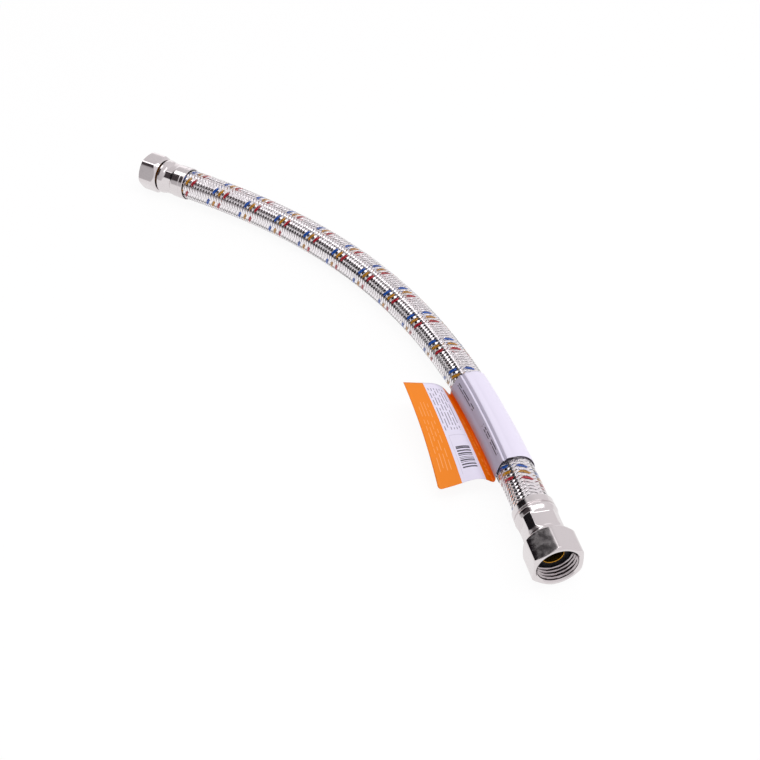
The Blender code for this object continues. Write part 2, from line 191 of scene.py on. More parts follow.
# The hose lies in one easy bend. This is its line between the two ferrules' lips, from the rear end
# to the front one, as the bench put it: flat on its belly, with its front end held just clear.
ROUTE = [Vector(point) * MM for point in [
    (-91.0, 143.6, 11.00), (-76.1, 135.1, 10.74), (-61.5, 126.6, 10.18), (-47.2, 117.6, 9.61),
    (-33.2, 107.5, 9.37), (-19.6, 96.5, 9.35), (-6.6, 84.8, 9.35), (5.8, 72.5, 9.35),
    (17.5, 59.6, 9.35), (28.5, 46.0, 9.35), (38.8, 31.9, 9.35), (48.3, 17.2, 9.37),
    (57.0, 1.9, 9.50), (64.9, -14.0, 9.78), (72.1, -30.1, 9.95), (78.6, -46.2, 9.97),
    (84.5, -62.7, 9.97), (89.8, -79.6, 10.20), (94.5, -97.3, 11.30), (98.7, -115.5, 12.90),
    (102.8, -133.2, 13.90)]]
REAR_DIRECTION = Vector((-0.867, 0.498, 0)).normalized()
FRONT_DIRECTION = Vector((0.240, -0.971, 0)).normalized()
LINE_STEP = 1.5 * MM
FINE_STEPS = 40                   # between two points of the route


def smooth_route(points, start_tangent, end_tangent, count):
    """Points at equal steps along the cubic spline through the given points."""
    knots = np.array(points)
    steps = np.linalg.norm(np.diff(knots, axis=0), axis=1)
    size = len(knots)
    matrix = np.zeros((size, size))
    right_side = np.zeros((size, 3))
    matrix[0, 0] = matrix[-1, -1] = 1
    right_side[0] = start_tangent
    right_side[-1] = end_tangent
    for i in range(1, size - 1):
        before, after = steps[i - 1], steps[i]
        matrix[i, i - 1:i + 2] = after, 2 * (before + after), before
        right_side[i] = 3 * (after * (knots[i] - knots[i - 1]) / before
                             + before * (knots[i + 1] - knots[i]) / after)
    slopes = np.linalg.solve(matrix, right_side)
    fine = []
    for i, step in enumerate(steps):
        for u in np.linspace(0, 1, FINE_STEPS, endpoint=False):
            fine.append((2 * u**3 - 3 * u**2 + 1) * knots[i] + (u**3 - 2 * u**2 + u) * step * slopes[i]
                        + (3 * u**2 - 2 * u**3) * knots[i + 1] + (u**3 - u**2) * step * slopes[i + 1])
    fine.append(knots[-1])
    fine = np.array(fine)
    along = np.concatenate([[0], np.cumsum(np.linalg.norm(np.diff(fine, axis=0), axis=1))])
    places = np.linspace(0, along[-1], count)
    return np.stack([np.interp(places, along, fine[:, k]) for k in range(3)], axis=1)


def length_of(points):
    """How long a line through points is."""
    return float(np.linalg.norm(np.diff(points, axis=0), axis=1).sum())


line = smooth_route(ROUTE, -REAR_DIRECTION, FRONT_DIRECTION, 1 + round(length_of(ROUTE) / LINE_STEP))
free_length = length_of(line)


def reaching(rear, front):
    """The hose's line with straight ends that reach so far into the two ferrules."""
    behind = np.linspace(rear, 0, 1 + round(rear / LINE_STEP))[:-1]
    beyond = np.linspace(0, front, 1 + round(front / LINE_STEP))[1:]
    tail = [line[0] + s * np.array(REAR_DIRECTION) for s in behind]
    head = [line[-1] + s * np.array(FRONT_DIRECTION) for s in beyond]
    return np.array([*tail, *line, *head])


# The jacket: clear soft vinyl, extruded over the braid so that it fills the dips between its wires.
# It makes the braid look as wide as itself, and its gloss is a little uneven.
HOSE_RADIUS = 9.35 * MM
JACKET_REACH = 8.6 * MM           # into each ferrule
JACKET_BORE = 7.75 * MM
JACKET_SIDES = 64
SHARP = 40                        # degrees at an edge, past which it isn't shaded smooth
NOISE_LOW = 0.35                  # most of a noise texture's values lie between these two
NOISE_HIGH = 0.65


def frames(points):
    """The ways ahead, to the left and up at each point of a line."""
    ahead = np.gradient(points, axis=0)
    ahead /= np.linalg.norm(ahead, axis=1)[:, None]
    left = np.cross(ahead, (0, 0, 1))
    left /= np.linalg.norm(left, axis=1)[:, None]
    return ahead, left, np.cross(left, ahead)


def mesh_object(name, vertices, faces, look, sharp=SHARP):
    """A new mesh object at the origin, with its material. It is shaded smooth but for sharp edges."""
    mesh = bpy.data.meshes.new(name)
    mesh.from_pydata([tuple(v) for v in vertices], [], faces)
    mesh.materials.append(look)
    mesh.shade_smooth()
    mesh.set_sharp_from_angle(angle=math.radians(sharp))
    made = bpy.data.objects.new(name, mesh)
    bpy.context.scene.collection.objects.link(made)
    return made


def grid_faces(rows, columns, closed_rows=False, closed_columns=True):
    """Faces between neighbouring points of a grid whose points run row by row."""
    faces = []
    for i in range(rows if closed_rows else rows - 1):
        for j in range(columns if closed_columns else columns - 1):
            a, b = i * columns + j, i * columns + (j + 1) % columns
            shift = ((i + 1) % rows - i) * columns
            faces.append((a, b, b + shift, a + shift))
    return faces


def principled(name, sockets):
    """A Principled material, to which a piece's section adds its own detail."""
    made = bpy.data.materials.new(name)
    made.use_nodes = True
    made.node_tree.nodes.clear()
    shader = add(made.node_tree, "ShaderNodeBsdfPrincipled", sockets)
    add(made.node_tree, "ShaderNodeOutputMaterial", {"Surface": shader.outputs[0]})
    return made, made.node_tree, shader


def uneven(tree, shader, scale, smooth, rough, relief):
    """Gives a material a gloss between two roughnesses, and waves of a given depth, from one noise."""
    ways = add(tree, "ShaderNodeTexCoord")
    noise = add(tree, "ShaderNodeTexNoise", {
        "Vector": ways.outputs["Object"], "Scale": scale, "Detail": 1.0})
    gloss = add(tree, "ShaderNodeMapRange", {
        "Value": noise.outputs[0], "From Min": NOISE_LOW, "From Max": NOISE_HIGH, "To Min": smooth,
        "To Max": rough})
    tree.links.new(gloss.outputs[0], shader.inputs["Roughness"])
    waves = add(tree, "ShaderNodeBump", {"Strength": 1.0, "Distance": relief, "Height": noise.outputs[0]})
    tree.links.new(waves.outputs[0], shader.inputs["Normal"])


clear_vinyl, tree, shader = principled("extruded_clear_vinyl", {
    "Base Color": colour("#FBFAFC"), "IOR": 1.5, "Transmission Weight": 1.0})
# The waves are about 6 mm long and a few hundredths of a millimetre deep
uneven(tree, shader, 180.0, 0.03, 0.08, 0.015 * MM)

jacket_line = reaching(JACKET_REACH, JACKET_REACH)
ahead, left, up = frames(jacket_line)
turns = np.linspace(0, 2 * math.pi, JACKET_SIDES, endpoint=False)
outward = np.cos(turns)[None, :, None] * up[:, None] + np.sin(turns)[None, :, None] * left[:, None]
outside = jacket_line[:, None] + HOSE_RADIUS * outward
inside = (jacket_line[:, None] + JACKET_BORE * outward)[::-1]
walls = np.concatenate([outside, inside]).reshape(-1, 3)
jacket = mesh_object("jacket", walls, grid_faces(2 * len(jacket_line), JACKET_SIDES, closed_rows=True),
                     clear_vinyl)
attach(jacket, "hose")
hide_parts("clear_jacket")

# The braid: 24 flat strands of five drawn steel wires, twelve wound each way, each passing over two
# and under two. The floats of one way stand in columns along the hose. Three strands are coloured.
LAY = 25.29 * MM                  # of one turn round the hose
STRANDS = 12                      # each way
BRAID_RADIUS = 7.98 * MM          # of the strands' middle layer
BRAID_LIFT = 0.26 * MM            # of a strand above that layer or under it
WIRE = 0.30 * MM
WIRES = 5
WIRE_DIP = 0.37                   # height of the dip between two wires, of a wire's thickness
WIRE_EDGE = 0.25                  # the same at a strand's two edges
FLOAT_STEEPNESS = 1.7             # a cosine times this is cut off at 1: long floats, short crossings
COLUMN_ANGLE = 36.9               # degrees of one column from the top towards the left, at the rear lip
COLUMN_TWIST = 16.3               # degrees that the columns turn towards the left up to the front lip
BLUE_START = -0.72 * MM           # from the rear lip to where the blue strand is in that column
BRAID_SLIP = 2.4 * MM             # of the braid towards the rear, halfway along the hose
SAMPLES_PER_LAY = 40              # places along a strand
BRAID_REACH = 15.0 * MM           # into each ferrule

wires = bpy.data.curves.new("wires", "CURVE")
wires.dimensions = "2D"
section = []
for k in range(WIRES):
    centre = (k - (WIRES - 1) / 2) * WIRE
    section += [(centre - WIRE / 2, WIRE * WIRE_DIP), (centre, WIRE / 2)]
edge = WIRES * WIRE / 2
section += [(edge, WIRE * WIRE_EDGE), (edge, -WIRE / 2), (-edge, -WIRE / 2)]
outline = wires.splines.new("POLY")
outline.points.add(len(section) - 1)
outline.use_cyclic_u = True
for point, (across, height) in zip(outline.points, section):
    point.co = (height, across, 0, 1)
wires_profile = bpy.data.objects.new("wires", wires)
bpy.context.scene.collection.objects.link(wires_profile)

strands_tree = bpy.data.node_groups.new("braid_strands", "GeometryNodeTree")
for name, kind in (
        ("Geometry", "Geometry"), ("Profile", "Object"), ("Strands", "Int"), ("First", "Float"),
        ("Spacing", "Float"), ("Hand", "Float"), ("Radius", "Float"), ("Lift", "Float"),
        ("Turns", "Float"), ("Before", "Float"), ("Twist", "Float"), ("Column", "Float"),
        ("Slip", "Float"), ("Samples", "Int"), ("Material", "Material")):
    strands_tree.interface.new_socket(name, in_out="INPUT", socket_type="NodeSocket" + kind)
strands_tree.interface.new_socket("Geometry", in_out="OUTPUT", socket_type="NodeSocketGeometry")


def number(operation, *values):
    """A calculation in the braid's tree."""
    return calculate(strands_tree, operation, *values)


def vector(operation, sockets):
    """The same with places or directions."""
    return add(strands_tree, "ShaderNodeVectorMath", sockets, operation=operation).outputs[0]


def stored(geometry, name, value, domain):
    """Geometry that carries a value by name, and that value where it is used."""
    carrying = add(strands_tree, "GeometryNodeStoreNamedAttribute", {
        "Geometry": geometry, "Name": name, "Value": value}, data_type="FLOAT", domain=domain)
    read = add(strands_tree, "GeometryNodeInputNamedAttribute", {"Name": name}, data_type="FLOAT")
    return carrying.outputs[0], read.outputs[0]


given = add(strands_tree, "NodeGroupInput").outputs
# One straight line for each strand, with its number on it, and on each point its share of the way
seed_line = add(strands_tree, "GeometryNodeCurvePrimitiveLine")
blank = add(strands_tree, "GeometryNodeResampleCurve", {
    "Curve": seed_line.outputs[0], "Count": given["Samples"]})
spots = add(strands_tree, "GeometryNodePoints", {"Count": given["Strands"]})
copies = add(strands_tree, "GeometryNodeInstanceOnPoints", {
    "Points": spots.outputs[0], "Instance": blank.outputs[0]})
which = add(strands_tree, "GeometryNodeInputIndex")
numbered, strand = stored(copies.outputs[0], "strand", which.outputs[0], "INSTANCE")
loose = add(strands_tree, "GeometryNodeRealizeInstances", {0: numbered})
way = add(strands_tree, "GeometryNodeSplineParameter")
measured, share = stored(loose.outputs[0], "share", way.outputs["Factor"], "POINT")
# Each point's angle in its column and its distance from the hose's line, over two strands and under two
middle = number("MULTIPLY", number("MULTIPLY", share, number("SUBTRACT", 1.0, share)), 4.0)
wound_by = number("MULTIPLY_ADD", middle, given["Slip"], number("MULTIPLY", share, given["Turns"]))
turn = number("MULTIPLY", wound_by, given["Hand"])
start = number("ADD", given["First"], number("MULTIPLY", strand, given["Spacing"]))
in_column = number("ADD", start, number("MULTIPLY", turn, 2 * math.pi))
wave = number("COSINE", number("MULTIPLY", in_column, STRANDS / 2))
steep = number("MULTIPLY", number("MULTIPLY", wave, FLOAT_STEEPNESS), given["Hand"])
float_side = number("MAXIMUM", number("MINIMUM", steep, 1.0), -1.0)
radius = number("SUBTRACT", given["Radius"], number("MULTIPLY", float_side, given["Lift"]))
beyond_lip = number("SUBTRACT", share, given["Before"])
twisted = number("ADD", given["Column"], number("MULTIPLY", beyond_lip, given["Twist"]))
angle = number("ADD", in_column, twisted)
# Its place round the hose's line, and the way it faces
level = add(strands_tree, "GeometryNodeSetCurveNormal", {"Curve": given["Geometry"]}, mode="Z_UP")
at = add(strands_tree, "GeometryNodeSampleCurve", {"Curves": level.outputs[0], "Factor": share},
         mode="FACTOR")
left = vector("NORMALIZE", {0: vector("CROSS_PRODUCT", {0: at.outputs["Tangent"], 1: (0, 0, 1)})})
up = vector("CROSS_PRODUCT", {0: left, 1: at.outputs["Tangent"]})
up_part = vector("SCALE", {0: up, "Scale": number("COSINE", angle)})
left_part = vector("SCALE", {0: left, "Scale": number("SINE", angle)})
outward = vector("ADD", {0: up_part, 1: left_part})
away = vector("SCALE", {0: outward, "Scale": radius})
spot = vector("ADD", {0: at.outputs["Position"], 1: away})
wound = add(strands_tree, "GeometryNodeSetPosition", {"Geometry": measured, "Position": spot})
faced = add(strands_tree, "GeometryNodeSetCurveNormal", {"Curve": wound.outputs[0], "Normal": outward},
            mode="FREE")
profile = add(strands_tree, "GeometryNodeObjectInfo", {"Object": given["Profile"]})
swept = add(strands_tree, "GeometryNodeCurveToMesh", {
    "Curve": faced.outputs[0], "Profile Curve": profile.outputs["Geometry"], "Fill Caps": True})
smooth = add(strands_tree, "GeometryNodeSetShadeSmooth", {"Geometry": swept.outputs[0]})
real = add(strands_tree, "GeometryNodeRealizeInstances", {0: smooth.outputs[0]})
dressed = add(strands_tree, "GeometryNodeSetMaterial", {
    "Geometry": real.outputs[0], "Material": given["Material"]})
add(strands_tree, "NodeGroupOutput", {0: dressed.outputs[0]})

braid_line = reaching(BRAID_REACH, BRAID_REACH)
braid_length = length_of(braid_line)
braid_before = (braid_length - free_length) / 2
guide = bpy.data.curves.new("hose_line", "CURVE")
guide.dimensions = "3D"
spline = guide.splines.new("POLY")
spline.points.add(len(braid_line) - 1)
for point, place in zip(spline.points, braid_line):
    point.co = (*place, 1)

steel_wire, tree, shader = principled("drawn_steel_wire", {
    "Base Color": colour("#F8F4F5"), "Metallic": 1.0})
# Die marks and grease, in patches of about 3 mm
uneven(tree, shader, 300.0, 0.1, 0.18, 0.0005 * MM)
strand_looks = {}
for name, code in (("blue", "#0560D0"), ("yellow", "#E6A012"), ("red", "#D2122E")):
    look, tree, shader = principled(name + "_enamelled_strand", {"Base Color": colour(code)})
    # The enamel has run a little on the wires, over about 3 mm
    uneven(tree, shader, 300.0, 0.25, 0.4, 0.002 * MM)
    strand_looks[name] = look

per_lay = 2 * math.pi / LAY
carrier = 2 * math.pi / STRANDS
# Angle at the line's start of the strand that is blue, and of the first one that is wound the other way
left_first = (braid_before + BLUE_START) * per_lay
right_first = carrier / 2 - left_first
samples = round(SAMPLES_PER_LAY * braid_length / LAY)
# Of the twelve wound to the left, 0, 2 and 4 are coloured, and 1, 3 and 5 to 11 are plain
for name, count, first, spacing, hand, look in (
        ("braid_blue", 1, left_first, 0.0, -1.0, strand_looks["blue"]),
        ("braid_yellow", 1, left_first + 2 * carrier, 0.0, -1.0, strand_looks["yellow"]),
        ("braid_red", 1, left_first + 4 * carrier, 0.0, -1.0, strand_looks["red"]),
        ("braid_left_a", 2, left_first + carrier, 2 * carrier, -1.0, steel_wire),
        ("braid_left_b", 7, left_first + 5 * carrier, carrier, -1.0, steel_wire),
        ("braid_right", STRANDS, right_first, carrier, 1.0, steel_wire)):
    source = bpy.data.objects.new(name + "_guide", guide)
    bpy.context.scene.collection.objects.link(source)
    maker = source.modifiers.new("strands", "NODES")
    maker.node_group = strands_tree
    values = {"Profile": wires_profile, "Strands": count, "First": first, "Spacing": spacing, "Hand": hand,
              "Radius": BRAID_RADIUS, "Lift": BRAID_LIFT, "Turns": braid_length / LAY,
              "Before": braid_before / braid_length,
              "Twist": math.radians(COLUMN_TWIST) * braid_length / free_length,
              "Column": math.radians(COLUMN_ANGLE), "Slip": BRAID_SLIP / LAY, "Samples": samples,
              "Material": look}
    for item in strands_tree.interface.items_tree:
        if item.in_out == "INPUT" and item.name in values:
            maker[item.identifier] = values[item.name]
    source.update_tag()
    bpy.context.view_layer.update()
    evaluated = source.evaluated_get(bpy.context.evaluated_depsgraph_get())
    mesh = bpy.data.meshes.new_from_object(evaluated)
    source.modifiers.clear()
    bpy.data.objects.remove(source)
    made = bpy.data.objects.new(name, mesh)
    bpy.context.scene.collection.objects.link(made)
    mesh.set_sharp_from_angle(angle=math.radians(SHARP))
    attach(made, "hose")
    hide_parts("wire_braid")
bpy.data.objects.remove(wires_profile)

# The gas goes through a tube of black synthetic rubber inside the braid. It shows only as the dark
# in the gaps between the strands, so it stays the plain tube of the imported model, in its own rubber.
black_rubber, tree, shader = principled("extruded_black_rubber", {"Base Color": colour("#0E0D0E")})
# The skin of extruded rubber has a faint grain of about 2 mm
uneven(tree, shader, 500.0, 0.5, 0.75, 0.02 * MM)
tube = bpy.data.objects["rubber_tube"]
tube.data.materials.clear()
tube.data.materials.append(black_rubber)

# The two inserts: turned brass, each with a barbed stem in the tube, a collar in the ferrule, a neck
# and a flange that the nut pulls on. The bright lip in the middle of the gasket is its end.
UP = Vector((0, 0, 1))
FRONT_END = (Vector(line[-1]), FRONT_DIRECTION)
REAR_END = (Vector(line[0]), REAR_DIRECTION)
BORE = 5.1 * MM                   # radii of the bore, stem, neck, collar, flange and lip
STEM = 5.6 * MM
NECK = 6.6 * MM
COLLAR = NECK + 0.6 * MM
FLANGE = 9.3 * MM
LIP = 5.7 * MM
STEM_START = 2.0 * MM             # values of t, also of the two flanges
FRONT_FLANGE = 25.2 * MM
REAR_FLANGE = 23.6 * MM
COLLAR_LENGTH = 1.3 * MM
FLANGE_THICKNESS = 1.9 * MM
GASKET_THICKNESS = 1.9 * MM
LIP_HEIGHT = 0.4 * MM             # beyond the gasket
BARBS = 3
BRIGHT_LIP = 0.3 * MM             # of the bore at its end, kept plain brass without the painted shade
SEAM = 0.3 * MM                   # between pieces that touch
NEAR = 0.1 * MM                   # of a surface, for a place that counts as on it
LATHE_EDGE = 0.2 * MM             # radius that the tool leaves at an edge
TURNED_SIDES = 96


def eased(outline, radius, steps=3):
    """A closed outline with each corner rounded to the given reach, or to a third of its shorter side."""
    points = [Vector(point) for point in outline]
    made = []
    for before, corner, after in zip(points[-1:] + points[:-1], points, points[1:] + points[:1]):
        back, ahead = before - corner, after - corner
        reach = min(radius, back.length / 3, ahead.length / 3)
        first = corner + back.normalized() * reach
        last = corner + ahead.normalized() * reach
        made += [first.lerp(corner, k / steps).lerp(corner.lerp(last, k / steps), k / steps)
                 for k in range(steps + 1)]
    return made


def in_steps(outline, longest):
    """A closed outline with points added so that none of its sides is longer than the given step."""
    made = []
    for a, b in zip(outline, outline[1:] + outline[:1]):
        count = max(1, math.ceil((b - a).length / longest))
        made += [a.lerp(b, k / count) for k in range(count)]
    return made


def turned(name, outline, end, look, rule=None, angles=None):
    """A piece turned about the axis of one end, from a closed outline of (t, radius) that runs
    outwards along its outer side and back along its bore. A rule gives each point's own radius."""
    place, direction = end
    side = UP.cross(direction)
    if angles is None:
        angles = np.linspace(0, 2 * math.pi, TURNED_SIDES, endpoint=False)
    t = np.array([point[0] for point in outline])[:, None]
    radius = np.array([point[1] for point in outline])[:, None] + 0 * angles[None]
    if rule:
        radius = rule(t + 0 * angles[None], radius, angles[None] + 0 * t)
    spots = (np.array(place) + t[:, :, None] * np.array(direction)
             + (radius * np.cos(angles))[:, :, None] * np.array(side)
             + (radius * np.sin(angles))[:, :, None] * np.array(UP))
    return mesh_object(name, spots.reshape(-1, 3), grid_faces(len(outline), len(angles), closed_rows=True),
                       look)


def insert(name, node, end, neck_start, flange_start):
    """One insert, all in one turned outline. Its bore, but for the lip, is rough from the drill and
    darkened with painted shade.
    """
    flange_end = flange_start + FLANGE_THICKNESS
    lip_end = flange_end + SEAM + GASKET_THICKNESS + LIP_HEIGHT
    root = STEM - SEAM
    collar = neck_start - COLLAR_LENGTH
    outline = [(STEM_START, root)]
    for k in range(1, BARBS + 1):
        crest = STEM_START + k * (collar - STEM_START) / (BARBS + 1)
        outline += [(crest - SEAM, STEM), (crest, root)]
    outline += [(collar, root), (collar, COLLAR), (neck_start, COLLAR), (neck_start, NECK),
                (flange_start, NECK), (flange_start, FLANGE), (flange_end, FLANGE), (flange_end, LIP),
                (lip_end, LIP), (lip_end, BORE), (STEM_START, BORE)]
    made = turned(name, eased(outline, LATHE_EDGE), end, brass)
    made.data.materials.append(bore_brass_painted_shade)
    # Faces of the bore, but for its last part at the lip, get the painted shade
    for face in made.data.polygons:
        spot = face.center - end[0]
        away = spot.dot(end[1])
        if (spot - away * end[1]).length < BORE + NEAR and away < lip_end - BRIGHT_LIP:
            face.material_index = 1
    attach(made, "hose")
    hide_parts(node)
    return made


brass, tree, shader = principled("turned_brass", {"Base Color": colour("#F2B03A"), "Metallic": 1.0})
# Tool marks too fine to see one by one, and patches of tarnish about 2 mm wide
uneven(tree, shader, 500.0, 0.24, 0.42, 0.004 * MM)
# Painted shade: the bore is a dark olive brass, for the shade deep inside it
bore_brass_painted_shade, tree, shader = principled("drilled_bore_painted_shade", {
    "Base Color": colour("#6E5A1E"), "Metallic": 1.0})
# Drilled and left rough, with swirls of the drill about 1 mm wide
uneven(tree, shader, 900.0, 0.4, 0.6, 0.01 * MM)
insert("front_brass_insert", "front_insert", FRONT_END, neck_start=18.8 * MM, flange_start=FRONT_FLANGE)
rear_insert = insert("rear_brass_insert", "rear_insert", REAR_END, neck_start=17.0 * MM,
                     flange_start=REAR_FLANGE)

# The gaskets: flat washers of black rubber, one on each flange, that seal against the fitting.
GASKET = 9.6 * MM                 # outer radius
GASKET_EDGE = 0.3 * MM            # radius of its edges

gasket_rubber, tree, shader = principled("moulded_black_rubber", {"Base Color": colour("#141318")})
# The mould leaves a satin face with a grain under 1 mm
uneven(tree, shader, 1200.0, 0.35, 0.6, 0.02 * MM)


def gasket(name, node, end, flange_start):
    """One gasket, with its edges a little rounded by the mould."""
    start = flange_start + FLANGE_THICKNESS + SEAM
    outline = [(start, GASKET), (start + GASKET_THICKNESS, GASKET), (start + GASKET_THICKNESS, LIP + SEAM),
               (start, LIP + SEAM)]
    made = turned(name, eased(outline, GASKET_EDGE), end, gasket_rubber)
    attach(made, "hose")
    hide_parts(node)
    return made


gasket("front_rubber_gasket", "front_gasket", FRONT_END, FRONT_FLANGE)
rear_gasket = gasket("rear_rubber_gasket", "rear_gasket", REAR_END, REAR_FLANGE)

# The ferrules: thin steel sleeves, nickel plated, slipped over the end of the hose and pressed by four
# jaws on the bare braid, which leaves four broad flats and four narrow ones between them.
FERRULE_BORE = 9.65 * MM          # radius
CRIMP_BORE = 8.65 * MM            # radius under the crimp
NARROW_HALF = 12.5                # degrees, half of a narrow flat
BROAD_CROWN = 0.87                # of a broad flat, from 1 for a plane to 0 for a round sleeve
FLAT_EASE = 1.5 * MM              # over which a pressed flat runs out at each end
PRESS_SOFTNESS = 0.03 * MM
SHEET_STEP = 0.35 * MM
SHEET_BEND = 0.35 * MM            # radius
SLEEVE_SIDES = 180
END_WALL = 1.9 * MM               # round the insert's neck
BORE_STEP = (8.9 * MM, 9.4 * MM)  # from the lip, where the bore narrows to the crimp
FRONT_SLEEVE = [                  # (t, radius) of the outside in mm: collar, groove, bead and crimp
    (0, 9.8), (0.9, 9.9), (1.0, 10.5), (1.15, 10.6), (4.6, 10.6), (4.75, 10.45), (4.85, 9.95),
    (5.5, 9.95), (5.6, 10.3), (6.1, 10.7), (6.7, 10.8), (7.4, 10.65), (8.2, 10.38), (9.0, 10.1),
    (9.2, 9.95), (9.4, 10.3), (17.6, 10.2), (19.4, 9.4), (21.0, 9.15)]
REAR_SLEEVE = [                   # the same, with its groove nearer the lip and a flared end
    (0, 9.95), (0.3, 10.25), (2.6, 10.25), (2.9, 10.0), (3.2, 10.25), (8.4, 10.25), (9.3, 9.9),
    (14.6, 9.9), (17.7, 10.7), (18.8, 10.7), (19.2, 10.3)]

nickel, tree, shader = principled("bright_nickel_plate", {"Base Color": colour("#DCD6D7"), "Metallic": 1.0})
# The polish under the plating is wavy, over about 3 mm, by a few microns
uneven(tree, shader, 320.0, 0.09, 0.18, 0.006 * MM)


def softer_min(a, b, softness):
    """The smaller of two lengths, eased where they are nearly equal."""
    return -softness * np.logaddexp(-a / softness, -b / softness)


def smoothstep(x):
    """A soft step from 0 at 0 to 1 at 1."""
    x = np.clip(x, 0, 1)
    return x * x * (3 - 2 * x)


def pressed(start, end, radius_before, narrow_turn):
    """Rule for the flats that are pressed between two places, with a narrow one at the given angle."""
    narrow_half = math.radians(NARROW_HALF)
    broad_half = math.pi / 4 - narrow_half

    def rule(t, radius, angle):
        depth = smoothstep((t - start) / FLAT_EASE) * smoothstep((end - t) / FLAT_EASE)
        off = (angle - math.radians(narrow_turn) + math.pi / 4) % (math.pi / 2) - math.pi / 4
        from_broad = math.pi / 4 - np.abs(off)
        narrow = radius_before * math.cos(narrow_half) / np.cos(off)
        broad = radius_before * math.cos(BROAD_CROWN * broad_half) / np.cos(BROAD_CROWN * from_broad)
        flat = softer_min(narrow, broad, PRESS_SOFTNESS)
        flat = radius + depth * (np.minimum(flat, radius) - radius)
        return np.where(radius > CRIMP_BORE + NEAR, flat, radius)
    return rule


def ferrule(name, node, end, outside, rule):
    """One sleeve, from the outline of its outside."""
    hole = NECK + SEAM
    length = outside[-1][0] * MM
    bore = [(length, hole), (length - END_WALL, hole), (length - END_WALL, CRIMP_BORE),
            (BORE_STEP[1], CRIMP_BORE), (BORE_STEP[0], FERRULE_BORE), (0, FERRULE_BORE)]
    outline = in_steps(eased([(t * MM, r * MM) for t, r in outside] + bore, SHEET_BEND), SHEET_STEP)
    angles = np.linspace(0, 2 * math.pi, SLEEVE_SIDES, endpoint=False)
    made = turned(name, outline, end, nickel, rule, angles)
    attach(made, "hose")
    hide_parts(node)
    return made


ferrule("front_crimped_ferrule", "front_ferrule", FRONT_END, FRONT_SLEEVE,
        pressed(start=9.3 * MM, end=19.6 * MM, radius_before=10.3 * MM, narrow_turn=131.7))
rear_ferrule = ferrule("rear_crimped_ferrule", "rear_ferrule", REAR_END, REAR_SLEEVE,
                       pressed(start=9.0 * MM, end=15.6 * MM, radius_before=9.9 * MM, narrow_turn=46))

# The swivel nuts: brass, hexagonal, nickel plated, with a half-inch pipe thread inside. The front one
# is 24 mm across its flats and the rear one 22 mm, with its corners turned rounder.
THREAD = 9.9 * MM                 # its mean radius
THREAD_DEPTH = 0.58 * MM          # to each side of that
PITCH = 1.814 * MM
TOOTH_SLOPE = 2.15                # a sawtooth times this is cut off at 1: flat crests and roots
THREAD_BAND = 0.3 * MM            # about the thread's radius, for what the thread is cut in
ROOT_BAND = 0.12 * MM             # outside that radius, where the painted shade of the root starts
RUN_IN = 0.6 * MM                 # from the back wall to the thread's first turn
RUN_OUT = 0.5 * MM                # of its last turn into the countersink
FADE_OUT = 0.7 * PITCH
RIM = 0.1 * MM                    # from the end face's edge in to the flats
BACK_EDGE = 0.6 * MM              # from the back face's edge in to the flats
CHAMFER_ANGLE = math.radians(30)
NUT_STEP = 0.16 * MM
NUT_SOFTNESS = 0.06 * MM
NUT_HOLE = 7.0 * MM
# Degrees from one corner towards the middle of a flat, closer together where the corner is worn
HALF_FLAT = [-30, -29, -28, -27, -26, -24.8, -23.4, -21.5, -19, -15, -10, -5, 0]

# Partly painted shade: the thread is darker than the nickel outside, for its thinner plating and for the
# shade inside the nut
thread_plate_and_shade, tree, shader = principled("thin_plated_thread_painted_shade", {
    "Base Color": colour("#B4ACAE"), "Metallic": 1.0})
# The cutter leaves the thread rougher than the outside, in patches of about 3 mm
uneven(tree, shader, 300.0, 0.08, 0.16, 0.003 * MM)
# Painted shade: the deep roots of the thread are nearly black, for the shade that falls in them
painted_shade_thread_root, tree, shader = principled("thread_root_painted_shade", {
    "Base Color": colour("#3C3638"), "Metallic": 1.0})
# Its gloss and relief vary in patches of about 2 mm
uneven(tree, shader, 500.0, 0.3, 0.5, 0.004 * MM)


